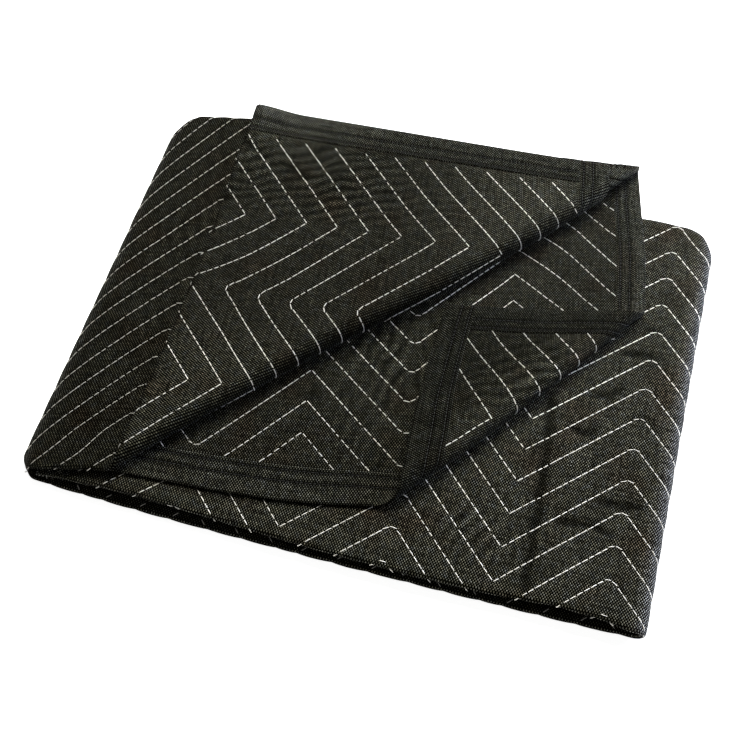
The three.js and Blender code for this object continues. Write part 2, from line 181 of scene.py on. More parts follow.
def folded_along(s, stack):
    """Place x and height z from the length and the height in the stack."""
    right = np.pi / 2 - (s - S_RIGHT) / RIGHT_RADIUS
    left = -np.pi / 2 - (s - S_LEFT) / LEFT_RADIUS
    groups = [s < S_RIGHT, s < S_BOTTOM, s < S_LEFT, s < S_TOP]
    places = [
        INNER_END + s,
        RIGHT_X + (RIGHT_RADIUS - stack) * np.cos(right),
        RIGHT_X - (s - S_BOTTOM),
        LEFT_X + (LEFT_RADIUS - stack) * np.cos(left),
    ]
    heights = [
        2 * RIGHT_RADIUS - stack,
        RIGHT_RADIUS + (RIGHT_RADIUS - stack) * np.sin(right),
        stack,
        LEFT_RADIUS + (LEFT_RADIUS - stack) * np.sin(left),
    ]
    x = np.select(groups, places, LEFT_X + s - S_TOP)
    return x, np.select(groups, heights, 2 * LEFT_RADIUS - stack)


def drawn(s, t):
    """How far the front edge of the middle group has moved back, fading away from its fold."""
    by = np.where(s < S_RIGHT, np.interp(INNER_END + s, *zip(*FRONT_DRAW)), 0)
    return by * eased(t, T_FRONT - DRAW_REACH, T_FRONT) * (1 - eased(t, T_OUTER, T_OUTER + DRAW_REACH))


def crept(s, t):
    """Where across the folds a point has got to: the cloth has crept round the front folds."""
    fade = 1 - eased(t, T_OUTER, T_BACK)
    slide = SKEW["slide"] * eased(s, S_LEFT, S_TOP) + CREEP * np.maximum(0, s - S_TOP) / TOP_RUN
    return t + np.where(t < T_BACK, slide * fade, 0) - drawn(s, t)


def leant(s, t):
    """Where along the folds a point has got to: the last panel lies aslant from its back fold."""
    y, _ = folded_across(t, 0)
    back = np.maximum(0, BACK_Y - y)
    reach = np.minimum(back, LEAN_REACH) - LEAN_PULL * np.maximum(0, back - LEAN_REACH)
    end = (LAST["lean_end"] - 1) * eased(s, LENGTH - END_REACH, LENGTH) * reach
    lean = LAST["lean"] * eased(s, S_BOTTOM, S_LEFT) * (back + end)
    return s + np.where(t < T_BACK, 0, lean)


def folded(s, t, w):
    """The place of flat cloth in the folded parcel before its corners are turned back."""
    y, stack = folded_across(crept(s, t), w)
    y = y + drawn(s, t)
    last = t >= T_BACK
    along = leant(s, t)
    x, z = folded_along(along, stack)
    run = np.maximum(0, along - S_TOP)
    end = np.minimum(run / TOP_RUN, RUN_LIMIT)
    start_y = np.where(last, LAST["start_y"], 0)
    depth = np.clip((y - start_y) / (BACK_Y - start_y), 0, 1)
    sweep = HEM_SWEEP["hem"] * eased(run, *HEM_SWEEP["hem_run"])
    sweep = sweep + HEM_SWEEP["corner"] * eased(run, *HEM_SWEEP["corner_run"])
    front = np.where(
        last,
        LAST["front"] * (run / TOP_RUN) ** LAST["bend"] - sweep * (1 - depth) ** 3,
        SKEW["front"] * np.sin(np.pi / 2 * np.minimum(end, 1)) + CREEP * end,
    )
    out = np.where(last, SKEW["out_back"], mixed(SKEW["out_front"], SKEW["out_back"], depth))
    bow = np.sin(np.pi * np.clip(x / PARCEL_LENGTH, 0, 1) ** BULGE["round"]) ** BULGE["round"]
    bulge = BULGE["out"] * np.clip(bow, 0, 1) * (1 - depth) ** BULGE["fade"]
    sway = bulge * (1 - eased(s, S_LEFT, S_TOP))
    return x + out * end**3, y + mixed(front, SKEW["back"] * end, depth) - sway, z


def against(turn, x, y):
    """Along and past the line of a turn, with its radii there."""
    start, end = np.array(turn["start"]), np.array(turn["end"])
    size = np.hypot(*(end - start))
    dx, dy = (end - start) / size
    along = (x - start[0]) * dx + (y - start[1]) * dy
    past = (x - start[0]) * dy - (y - start[1]) * dx
    inner = np.interp(along / size, turn["at"], turn["inner"])
    belly = np.interp(along / size, turn["at"], turn["belly"])
    middle = inner + turn["thick"] / 2
    return along, past + np.pi * middle / 2, inner, middle, belly, dx, dy


def turn_angle(turn, s, t):
    """How far round a turn a flat point has gone: below 0 before it, above pi laid back."""
    x, y, _ = folded(s, t, 0)
    _, bent, _, middle, _, _, _ = against(turn, x, y)
    return bent / middle


def turned(turn, x, y, z):
    """A point carried round a turn and laid back on the cloth."""
    along, bent, inner, middle, belly, dx, dy = against(turn, x, y)
    centre = turn["top"] + inner
    reach = centre - z
    angle = np.clip(bent / middle, 0, np.pi)
    flap = np.maximum(0, bent - np.pi * middle)
    flat = np.minimum(0, bent)
    past = flat + reach * np.sin(angle) - np.pi * middle / 2 - flap
    past = past + belly * eased(flat, -turn["settle"], 0) * (1 - eased(flap, 0, turn["settle"]))
    fall = (2 * inner - turn["rest"]) * eased(flap, 0, turn["settle"])
    new_x = turn["start"][0] + along * dx + past * dy
    new_y = turn["start"][1] + along * dy - past * dx
    return new_x, new_y, centre - reach * np.cos(angle) - fall


def rounded(x, y):
    """The plan with its back corners and its front left corner drawn in round."""
    corners = (
        (CORNER_ROUND["left"], 1, x, -1, PARCEL_DEPTH - y),
        (CORNER_ROUND["right"], -1, PARCEL_LENGTH - x, -1, PARCEL_DEPTH - y),
        (CORNER_ROUND["front"], 1, x, 1, y),
    )
    for size, way, side, turn, depth in corners:
        end = np.clip(1 - side / size, 0, 1)
        edge = np.clip(1 - depth / size, 0, 1)
        x = x + way * size * end * (1 - np.sqrt(1 - edge**2 / 2))
        y = y + turn * size * edge * (1 - np.sqrt(1 - end**2 / 2))
    return x, y


def placed(s, t, w):
    """Flat cloth to its place in the parcel, with the parcel's middle at the origin."""
    x, y, z = folded(s, t, w)
    press = np.clip(1 - x / PRESS["reach"], 0, 1) ** PRESS["bend"]
    flat = PRESS["share"] * press + PRESS["edge"] * np.clip(1 - x / PRESS["edge_reach"], 0, 1) ** 2
    first = (s >= S_TOP) & (t < T_BACK)
    second = (s >= S_TOP) & (t >= T_LAST)
    for turn, turning in zip(TURNS, (first, second)):
        x, y, z = (np.where(turning, new, old) for new, old in zip(turned(turn, x, y, z), (x, y, z)))
    rise = 0
    for lift in LIFTS:
        side = np.clip(np.abs(x - lift["x"]) / lift["reach"], 0, 1)
        rise = rise + lift["rise"] * np.cos(np.pi / 2 * side) ** 2 * (1 - eased(y, 0, lift["depth"]))
    z = z + rise * eased(z, STACK, STACK + 2 * SLACK)
    corner = np.hypot(s - LENGTH, crept(s, t) - T_FRONT)
    curl = np.where(first, 1 - eased(corner, 0, CURL["reach"]), 0)
    x, z = x + CURL["in"] * curl, z + CURL["rise"] * curl
    x, y = rounded(x, y)
    x = x - PRESS["out"] * press - PARCEL_LENGTH / 2
    return np.stack([x, y - PARCEL_DEPTH / 2, z * (1 - flat)], axis=-1)


# Quilting: zigzag rows stacked across the width, with their corners in columns along the length.
# Every other column of corners is sewn round, as the hoop of the machine turns.
ROW = 0.0339
WAVE = 0.0979
HALF_WAVE = 0.1022
PEAK_Y = 0.4518
PEAK_ROUND = 0.0064
GROOVE = 0.0012
FIRST_ROW = T_OUTER + PEAK_Y - FRONT_Y
COUNT = np.arange(-6, 15)
# Column number and place along the cloth of the columns that were measured.
COLUMN_KNOTS = ((-6, -0.0636), (0, 0.5496), (8, 1.3354), (11, 1.6420), (12, 1.7540), (14, 1.9600))
COLUMN_S = np.interp(COUNT, *zip(*COLUMN_KNOTS))
COLUMN_DROP = np.where(COUNT % 2 == 0, 0, WAVE)
# Where the rows run unevenly. On the last panel near its end: place across and rows gained.
ROW_DRIFT = (
    (0.95, 0.85),
    (0.987, 0.75),
    (1.03, 0.48),
    (1.08, 0.20),
    (1.10, 0.17),
    (1.16, 0.45),
    (1.30, 0.50),
)
ROW_DRIFT_RUN = (1.62, 1.71)
# At the turned edge of the first flap: where along the cloth, and start and reach across it.
EDGE_PULL = {
    "s": (1.44, 1.55, 1.645),
    "along": 0.0165,
    "along_t": (0.31, 0.105),
    "rows": -0.3,
    "rows_t": (0.36, 0.054),
    "limit": 1.2,
}
# On the strip at the left: rows lost, more of them towards the back, and where that comes and goes.
STRIP_DRIFT = {
    "rows": -0.38,
    "back": -0.60,
    "back_t": (0.70, 0.87),
    "rise_s": (S_LEFT + 0.015, S_TOP + 0.090),
    "fall_s": (S_TOP + 0.15, S_TOP + 0.25),
    "rise_t": (T_OUTER, T_OUTER + 0.035),
    "fall_t": (T_LAST + 0.02, T_LAST + 0.12),
}


def zigzag_drop(s):
    """How far a row lies below its peaks."""
    drop = np.interp(s, COLUMN_S, COLUMN_DROP)
    slope = WAVE / HALF_WAVE
    off = drop / slope
    peak = slope * (off**2 / (2 * PEAK_ROUND) + PEAK_ROUND / 2)
    return np.where(off < PEAK_ROUND, peak, drop)


def drift(s, t):
    """How far the sewn rows have moved along the cloth, and how many rows across it."""
    pull = np.interp(s, EDGE_PULL["s"], (0, 1, 0)) * (t < T_OUTER)
    along, rows = (
        EDGE_PULL[key] * pull * np.clip((t - start) / reach, 0, EDGE_PULL["limit"])
        for key, (start, reach) in (("along", EDGE_PULL["along_t"]), ("rows", EDGE_PULL["rows_t"]))
    )
    rows = rows + np.interp(t, *zip(*ROW_DRIFT)) * eased(s, *ROW_DRIFT_RUN) * (t > T_LAST)
    strip = STRIP_DRIFT["rows"] + STRIP_DRIFT["back"] * np.interp(t, STRIP_DRIFT["back_t"], (0, 1))
    near = eased(t, *STRIP_DRIFT["rise_t"]) * (1 - eased(t, *STRIP_DRIFT["fall_t"]))
    near = near * eased(s, *STRIP_DRIFT["rise_s"]) * (1 - eased(s, *STRIP_DRIFT["fall_s"]))
    return along, rows + strip * near


def row_at(s, t):
    """Row number: whole numbers lie on the sewn lines."""
    along, rows = drift(s, t)
    return (t - FIRST_ROW + zigzag_drop(s - along)) / ROW + rows


def lattice_noise(u, v, seed, size=256):
    """Smooth hills and hollows from -1 to 1, about one to each unit of u and v."""
    table = np.random.default_rng(seed).uniform(-1, 1, (size, size))
    i, j = np.floor(u).astype(int), np.floor(v).astype(int)
    across, up = eased(u - i, 0, 1), eased(v - j, 0, 1)
    here, after = i % size, (i + 1) % size
    low, high = (mixed(table[here, k % size], table[after, k % size], across) for k in (j, j + 1))
    return mixed(low, high, up)


def edge_distance(s, t):
    """How far a flat point is from the nearest edge of the cloth."""
    return np.minimum(np.minimum(s, LENGTH - s), np.minimum(t, WIDTH - t))


def underside(s, t):
    """True on the panel that lies on the ground."""
    along = leant(s, t)
    return (along >= S_BOTTOM) & (along < S_LEFT) & (crept(s, t) >= T_OUTER) & (t < T_BACK)


# The faces lie flat under the bindings and come up to their full height beyond them.
HEM_CLEAR = 0.001
HEM_FADE = {"relief": 0.012, "thick": 0.005}
# Crumples of each face between its sewn lines.
CRUMPLE = {"size": 0.021, "flat": 0.00018, "flap": 0.0005, "seed": 5}
# Puckers: the thread draws the cloth up in ripples that cross the rows. Each row of the table is where
# they are, how far they reach along s and t, their pitch and their height.
PUCKERS = (
    (1.700, 0.375, 0.060, 0.060, 0.0115, 0.00080),
    (1.690, 0.290, 0.060, 0.060, 0.0115, 0.00075),
    (1.690, 0.200, 0.055, 0.060, 0.0115, 0.00055),
    (1.600, 0.155, 0.022, 0.040, 0.0075, 0.00040),
    (1.440, 0.420, 0.050, 0.030, 0.0090, 0.00045),
    (0.430, 0.490, 0.060, 0.030, 0.0130, 0.00045),
    (1.330, 0.700, 0.060, 0.200, 0.0140, 0.00035),
    (1.690, 1.230, 0.060, 0.080, 0.0130, 0.00060),
    (1.520, 1.180, 0.100, 0.120, 0.0140, 0.00045),
)
PUCKER_WAY = (0.94, 0.35)
PUCKER_CORNER = 0.010
# They wander and come in patches: size and seed of the hills that say where, and how much.
PUCKER_SHIFT = {"size": 0.024, "seed": 3, "share": 0.4}
PUCKER_PATCH = {"size": 0.048, "seed": 8, "plain": 0.8, "share": 0.5}
# Creases: soft ridges, or troughs where the height is below 0, from one flat place to another.
CREASES = (
    (0.460, 0.643, 0.468, 0.584, 0.0034, -0.0013),
    (0.468, 0.584, 0.477, 0.443, 0.0038, -0.0011),
    (0.502, 0.657, 0.514, 0.657, 0.0035, -0.0010),
    (0.514, 0.657, 0.526, 0.670, 0.0035, -0.0008),
    (0.486, 0.616, 0.498, 0.611, 0.0035, -0.0010),
    (0.498, 0.611, 0.508, 0.617, 0.0035, -0.0008),
    (0.535, 0.743, 0.549, 0.745, 0.0030, -0.0008),
    (0.520, 0.710, 0.550, 0.715, 0.0035, -0.0010),
    (0.526, 0.545, 0.564, 0.548, 0.0035, -0.0010),
    (0.490, 0.517, 0.522, 0.520, 0.0035, -0.0010),
    (0.522, 0.520, 0.541, 0.515, 0.0035, -0.0009),
    (1.751, 0.429, 1.725, 0.378, 0.0035, -0.0014),
    (1.679, 0.426, 1.658, 0.400, 0.0040, -0.0014),
    (1.715, 0.350, 1.700, 0.320, 0.0040, -0.0010),
    (1.445, 1.210, 1.441, 1.222, 0.0040, 0.0010),
)
CREASE_FADE = (0.008, 0.010)
LOW_FACE = -0.0011


def crease(s, t, s0, t0, s1, t1, width, rise):
    """Height of one ridge or trough."""
    before, after = CREASE_FADE
    size = np.hypot(s1 - s0, t1 - t0)
    along = ((s - s0) * (s1 - s0) + (t - t0) * (t1 - t0)) / size
    off = ((s - s0) * (t1 - t0) - (t - t0) * (s1 - s0)) / size
    ends = eased(along, -before, after) * (1 - eased(along, size - after, size + before))
    return rise * ends * np.exp(-((off / width) ** 2))


def off_hem(s, t, reach):
    """0 under the bindings and 1 from reach beyond them."""
    return eased(edge_distance(s, t), TAPE_WIDTH + HEM_CLEAR, TAPE_WIDTH + reach)


def pucker_frame(s, t):
    """Distance across the puckers, which lean with the legs of the zigzag, and off its corners."""
    leg = np.searchsorted(COLUMN_S, s) % 2 * 2 - 1
    corner = np.min(np.abs(np.asarray(s)[..., None] - COLUMN_S), axis=-1)
    return PUCKER_WAY[0] * s - leg * PUCKER_WAY[1] * t, corner


def hills(s, t, kind):
    """Hills and hollows over the flat cloth, of a kind's size and seed."""
    return lattice_noise(s / kind["size"], t / kind["size"], kind["seed"])


def wave(s, t):
    """Height of the whole cloth off its plain lie, outside up."""
    along, corner = pucker_frame(s, t)
    shift = PUCKER_SHIFT["share"] * hills(s, t, PUCKER_SHIFT)
    patchy = PUCKER_PATCH["plain"] + PUCKER_PATCH["share"] * hills(s, t, PUCKER_PATCH)
    height = 0
    for s0, t0, reach_s, reach_t, pitch, rise in PUCKERS:
        near = np.exp(-(((s - s0) / reach_s) ** 2) - ((t - t0) / reach_t) ** 2)
        height = height + rise * near * patchy * np.sin(2 * np.pi * (along / pitch + shift))
    height = height * eased(corner, 0, PUCKER_CORNER)
    for row in CREASES:
        height = height + crease(s, t, *row)
    return height * off_hem(s, t, HEM_FADE["relief"])


def relief(s, t):
    """Height of either face over the plain face of the cloth."""
    part = row_at(s, t) % 1
    arch = np.sqrt(np.maximum(0, 1 - (1 - 2 * np.minimum(part, 1 - part)) ** 2))
    flap = (s >= S_TOP) & (t < T_FRONT)
    crumple = np.where(flap, CRUMPLE["flap"], CRUMPLE["flat"]) * hills(s, t, CRUMPLE)
    height = GROOVE * (arch - 1) + crumple * arch
    height = np.maximum(height, LOW_FACE)
    height = np.where(underside(s, t), np.minimum(height, 0), height)
    return height * off_hem(s, t, HEM_FADE["relief"])


def half_thick(s, t):
    """Half the cloth's thickness: pressed thin where a binding holds it."""
    return mixed(HEM_THICK / 2, HALF, off_hem(s, t, HEM_FADE["thick"]))


def face_height(s, t, side):
    """Signed distance of the outside (side 1) or inside (side -1) face from the middle."""
    return side * (half_thick(s, t) + relief(s, t)) + wave(s, t)


# The panel's net: a coarse grid over the folds, cut finer on what can be seen. Its columns and rows
# are stations with the number of coarse cells up to each.
FINE = 6
MEDIUM = 3
NET_COLUMNS = ((0, 0), (S_RIGHT, 34), (S_BOTTOM, 3), (S_LEFT, 34), (S_TOP, 4), (LENGTH, 30))
NET_ROWS = ((0, 0), (T_FRONT, 26), (T_OUTER, 1), (T_BACK, 26), (T_LAST, 1), (WIDTH, 26))
FLAT_ROUNDS = 40
STRIP_WIDTH = 0.150
LIP = 0.014
# Angles round the turns, in radians, between which the second layer and the flaps can be seen.
SEEN = {"layer": 0.8, "under_flap": -0.5, "flap": -0.3}
OPEN_MARGIN = 0.020
# Plan line of the second layer's front and right edges, over which the middle group lies open.
OPEN_LINE = ((0.085, 0.005), (0.360, 0.048), (0.555, 0.318), (0.545, 0.500))


def net_lines(stations):
    """Grid lines through the stations, FINE to each coarse cell."""
    lines = [np.array([stations[0][0]])]
    for (low, _), (high, count) in zip(stations, stations[1:]):
        lines.append(np.linspace(low, high, count * FINE + 1)[1:])
    return np.concatenate(lines)


def flat_of(along, across):
    """Flat s and t of a grid point, which is given by where it has got to along and across."""
    s, t = along, across
    under = across < T_BACK
    for _ in range(FLAT_ROUNDS):
        first = crept(s, np.zeros_like(s))
        share = np.where(across < T_FRONT, mixed(first, T_FRONT, across / T_FRONT), across)
        t = np.where(under, t + share - crept(s, t), across)
        end = leant(np.full_like(t, LENGTH), t)
        reach = S_TOP + (along - S_TOP) * (end - S_TOP) / (LENGTH - S_TOP)
        s = np.where(under, along, s + np.where(along > S_TOP, reach, along) - leant(s, t))
    return np.clip(s, 0, LENGTH), np.clip(t, 0, WIDTH)


def open_plan(x, y):
    """True where the middle group isn't under the second layer."""
    clear = np.zeros(np.shape(x), bool)
    for (x0, y0), (x1, y1) in zip(OPEN_LINE, OPEN_LINE[1:]):
        size = np.hypot(x1 - x0, y1 - y0)
        clear |= ((x - x0) * (y1 - y0) - (y - y0) * (x1 - x0)) / size > -OPEN_MARGIN
    return clear


def side_fold(s, t):
    """True on the front and back folds of the three panels."""
    across = crept(s, t)
    return ((across >= T_FRONT) & (across < T_OUTER)) | ((t >= T_BACK) & (t < T_LAST))


def shown(s, t, side):
    """True where a face of the panel can be seen from above or at the folds."""
    across, along = crept(s, t), leant(s, t)
    top, middle = along >= S_TOP, along < S_RIGHT
    outer, last = (across >= T_OUTER) & (t < T_BACK), t >= T_LAST
    first_turn, second_turn = (turn_angle(turn, s, t) for turn in TURNS)
    if side < 0:
        return top & last & (second_turn < SEEN["layer"]) & (first_turn > SEEN["under_flap"])
    x, y, _ = folded(s, t, 0)
    bottom = (along >= S_BOTTOM) & (along < S_LEFT)
    bend = ((along >= S_RIGHT) & (along < S_BOTTOM)) | ((along >= S_LEFT) & (along < S_TOP))
    strip = top & outer & (s < S_TOP + STRIP_WIDTH)
    first_flap = (across < T_FRONT) & (first_turn > SEEN["flap"])
    flaps = top & (first_flap | (last & (second_turn > SEEN["flap"])))
    lip = bottom & (across > T_FRONT - LIP) & (across < T_FRONT)
    seen = side_fold(s, t) | (bend & outer) | strip | flaps | lip
    return seen | (middle & outer & open_plan(x, y))


def rim_of(numbers):
    """The numbers round the edge of a grid, in order."""
    return np.concatenate([numbers[:-1, 0], numbers[-1, :-1], numbers[:0:-1, -1], numbers[0, :0:-1]])


def cell_faces(cuts, numbers):
    """Polygons over the coarse cells, each cut so often a side, with its neighbours' points."""
    faces = []
    for (i, j), cut in np.ndenumerate(cuts):
        step = FINE // cut
        for a in range(i * FINE, (i + 1) * FINE, step):
            for b in range(j * FINE, (j + 1) * FINE, step):
                ring = [numbers[a + k, b] for k in range(step)]
                ring += [numbers[a + step, b + k] for k in range(step)]
                ring += [numbers[a + step - k, b + step] for k in range(step)]
                ring += [numbers[a, b + step - k] for k in range(step)]
                faces.append([n for n in ring if n >= 0])
    return faces


def linked(name, data):
    """A new object in the scene."""
    obj = bpy.data.objects.new(name, data)
    bpy.context.scene.collection.objects.link(obj)
    return obj


def store(mesh, name, kind, key, values):
    """Keeps a value for each point of a mesh under a name."""
    mesh.attributes.new(name, kind, "POINT").data.foreach_set(key, values.astype(np.float32).ravel())


def sheet_mesh(name, points, faces, flat, tone):
    """A smooth mesh with the flat cloth's coordinates, in metres, as its UV map, and its tone."""
    mesh = bpy.data.meshes.new(name)
    mesh.from_pydata(points.tolist(), [], faces)
    corners = np.zeros(len(mesh.loops), np.int32)
    mesh.loops.foreach_get("vertex_index", corners)
    uv = mesh.uv_layers.new(name="flat_cloth")
    uv.data.foreach_set("uv", flat[corners].astype(np.float32).ravel())
    store(mesh, "tone", "FLOAT", "value", tone)
    mesh.shade_smooth()
    return linked(name, mesh)


# Yarn brightness by part: plain is the cloth's own, the rest is painted shade and highlight, darkest on
# the strip at the left.
TONE = {
    "plain": 0.58,
    "bend": 1.35,
    "strip": 0.22,
    "inside": 0.34,
    "flap": 0.29,
    "flap_front": 0.52,
    "flap_back": 0.58,
    "corner": 0.23,
    "corner_front": 0.42,
}
# Where these tones come and go: along s and across t, or by the angle round a turn.
BEND_TONE = {"rise": (S_RIGHT - 0.014, S_RIGHT + 0.008), "fall": (S_RIGHT + 0.016, S_BOTTOM)}
FLAP_TONE = {"s": (1.43, 1.55), "t": (0.08, 0.20), "back_s": (1.68, 1.78), "back_t": (0.28, 0.40)}
CORNER_TONE = {"rise": (1.8, 3.0), "fall": (3.6, 8.0)}
# Painted shade on the face of the first flap's roll: how much, and the angle round the turn where it is
# deepest.
ROLL_SHADE = {"share": 0.65, "angle": 1.9}
# Painted relief shading: brightness gained for each metre of height, and its limits.
RELIEF_SHADE = {"wave": 1500, "strip": 800, "least": 0.3, "most": 1.7}


def strip_share(s, t):
    """1 on the outer panel of the top group, less and less round the left fold."""
    return eased(s, S_LEFT, S_TOP) * ((crept(s, t) >= T_FRONT) & (t < T_BACK))


def cloth_tone(s, t, side):
    """How bright the yarn is at a flat point of a face, with painted shade and highlight by part."""
    top = s >= S_TOP
    # Painted highlight round the right fold, and painted shade on the strip at the left.
    bend = eased(s, *BEND_TONE["rise"]) * (1 - eased(s, *BEND_TONE["fall"]))
    tone = mixed(mixed(TONE["plain"], TONE["bend"], bend), TONE["strip"], strip_share(s, t))
    # Painted shade over the first flap, lighter at its front edge and its back corner as painted
    # highlight.
    inner = eased(s, *FLAP_TONE["s"]) * eased(t, *FLAP_TONE["t"])
    back = eased(s, *FLAP_TONE["back_s"]) * eased(t, *FLAP_TONE["back_t"])
    flap = mixed(mixed(TONE["flap_front"], TONE["flap"], inner), TONE["flap_back"], back)
    first_turn, second_turn = (turn_angle(turn, s, t) for turn in TURNS)
    # Painted shade on the first flap's roll.
    flap = flap * (1 - ROLL_SHADE["share"] * np.exp(-((first_turn - ROLL_SHADE["angle"]) ** 2)))
    tone = np.where(top & (crept(s, t) < T_FRONT), flap, tone)
    # Painted shade on the second flap, with painted highlight round its turned edge.
    front = eased(second_turn, *CORNER_TONE["rise"]) * (1 - eased(second_turn, *CORNER_TONE["fall"]))
    corner = mixed(TONE["corner"], TONE["corner_front"], front)
    tone = np.where(top & (t >= T_BACK), corner, tone)
    # The inside face takes one darker tone, painted shade.
    return np.where(side > 0, tone, TONE["inside"])


def relief_shaded(s, t, side):
    """Painted highlight on ridges and painted shade in hollows, strongest on the strip at the left,
    where the cloth is darkest.
    """
    ridges = 1 + RELIEF_SHADE["wave"] * side * wave(s, t)
    ridges = ridges + RELIEF_SHADE["strip"] * strip_share(s, t) * (relief(s, t) + GROOVE / 3)
    return np.clip(ridges, RELIEF_SHADE["least"], RELIEF_SHADE["most"])


def quilted_panel():
    """The cloth: both faces over the net, each cut as fine as it needs, joined round the rim."""
    along, across = np.meshgrid(net_lines(NET_COLUMNS), net_lines(NET_ROWS), indexing="ij")
    s, t = flat_of(along, across)
    middle = (slice(FINE // 2, None, FINE), slice(FINE // 2, None, FINE))
    bends = (along[middle] > S_RIGHT) & (along[middle] < S_BOTTOM)
    bends |= (along[middle] > S_LEFT) & (along[middle] < S_TOP)
    cuts = []
    for side in (1, -1):
        cut = np.where(bends | underside(s[middle], t[middle]) & (side > 0), MEDIUM, 1)
        cuts.append(np.where(shown(s[middle], t[middle], side), FINE, cut))
    rim = np.ones(cuts[0].shape, bool)
    rim[1:-1, 1:-1] = False
    both = np.maximum(*cuts)
    points, faces, flats, tones, rims, start = [], [], [], [], [], 0
    for side, cut in zip((1, -1), cuts):
        cut = np.where(rim, both, cut)
        used = np.zeros(s.shape, bool)
        for (i, j), n in np.ndenumerate(cut):
            step = FINE // n
            used[i * FINE : (i + 1) * FINE + 1 : step, j * FINE : (j + 1) * FINE + 1 : step] = True
        numbers = np.where(used, np.cumsum(used).reshape(used.shape) - 1 + start, -1)
        start += used.sum()
        points.append(placed(s[used], t[used], face_height(s[used], t[used], side)))
        flats.append(np.stack([s[used], t[used]], axis=-1))
        # Tone: the cloth's own, with its painted shade and highlight by part and by relief.
        tones.append(cloth_tone(s[used], t[used], side) * relief_shaded(s[used], t[used], side))
        faces += [ring if side > 0 else ring[::-1] for ring in cell_faces(cut, numbers)]
        loop = rim_of(numbers)
        rims.append(loop[loop >= 0])
    for a, b, c, d in zip(rims[0], np.roll(rims[0], -1), np.roll(rims[1], -1), rims[1]):
        faces.append([b, a, d, c])
    joined = (np.concatenate(rows) for rows in (flats, tones))
    return sheet_mesh("quilted_panel_cloth", np.concatenate(points), faces, *joined)


def linear(colour):
    """Linear RGBA from an sRGB hex value."""
    channels = [int(colour[i : i + 2], 16) / 255 for i in (1, 3, 5)]
    return [c / 12.92 if c <= 0.04045 else ((c + 0.055) / 1.055) ** 2.4 for c in channels] + [1]


def add(tree, kind, inputs=(), **settings):
    """Adds a node with its settings; inputs are values or sockets, by name or number."""
    node = tree.nodes.new(kind)
    for name, value in settings.items():
        setattr(node, name, value)
    for key, value in dict(inputs).items():
        if isinstance(value, bpy.types.NodeSocket):
            tree.links.new(value, node.inputs[key])
        else:
            node.inputs[key].default_value = value
    return node


def maths(tree, operation, first, second=0.0):
    return add(tree, "ShaderNodeMath", {0: first, 1: second}, operation=operation).outputs[0]


def ranged(tree, value, low, high):
    """0 where a value is low or less, 1 where it is high or more."""
    return add(tree, "ShaderNodeMapRange", {0: value, 1: low, 2: high}, clamp=True).outputs[0]


def blended(tree, share, first, second):
    """One colour going over into another."""
    return add(tree, "ShaderNodeMix", {0: share, 6: first, 7: second}, data_type="RGBA").outputs[2]


def empty_material(name):
    material = bpy.data.materials.new(name)
    material.use_nodes = True
    material.node_tree.nodes.clear()
    return material, material.node_tree


def surface(tree, inputs):
    shader = add(tree, "ShaderNodeBsdfPrincipled", inputs)
    add(tree, "ShaderNodeOutputMaterial", {0: shader.outputs[0]})


# Woven polypropylene: flat tapes of dark yarn in a plain weave. Each tape's crowns, where it lies over
# its neighbours, are painted bright as a highlight, and it is painted near black as shade where it dives
# under them.
YARN = (0.00138, 0.00181)
CROWN_POWER = 1.7
WEAVE_BUMP = {"Strength": 0.4, "Distance": 0.0004}
# Brighter and duller lengths of yarn both ways, and small flecks: size, noise detail, the noise's range
# and the brightness of the dullest.
STREAKS = (
    ((0.0021, 0.030), 1, (0.25, 0.75), 0.5),
    ((0.030, 0.0028), 1, (0.25, 0.75), 0.5),
    ((0.0035, 0.0035), 2, (0.35, 0.65), 0.4),
)
COOL_PATCH = ((0.007, 0.007), 2, (0.45, 0.75))
BROWN_PATCH = ((0.05, 0.05), 4, (0.5, 0.72))
# Painted sheen: where the tone is painted brightest, the yarn loses its hue. Its colour, and the tones
# between which it takes over.
SHEEN_PAINT = "#8c8c88"
SHEEN_PAINT_TONE = (0.75, 1.3)
SHEEN = "#c3cbdc"


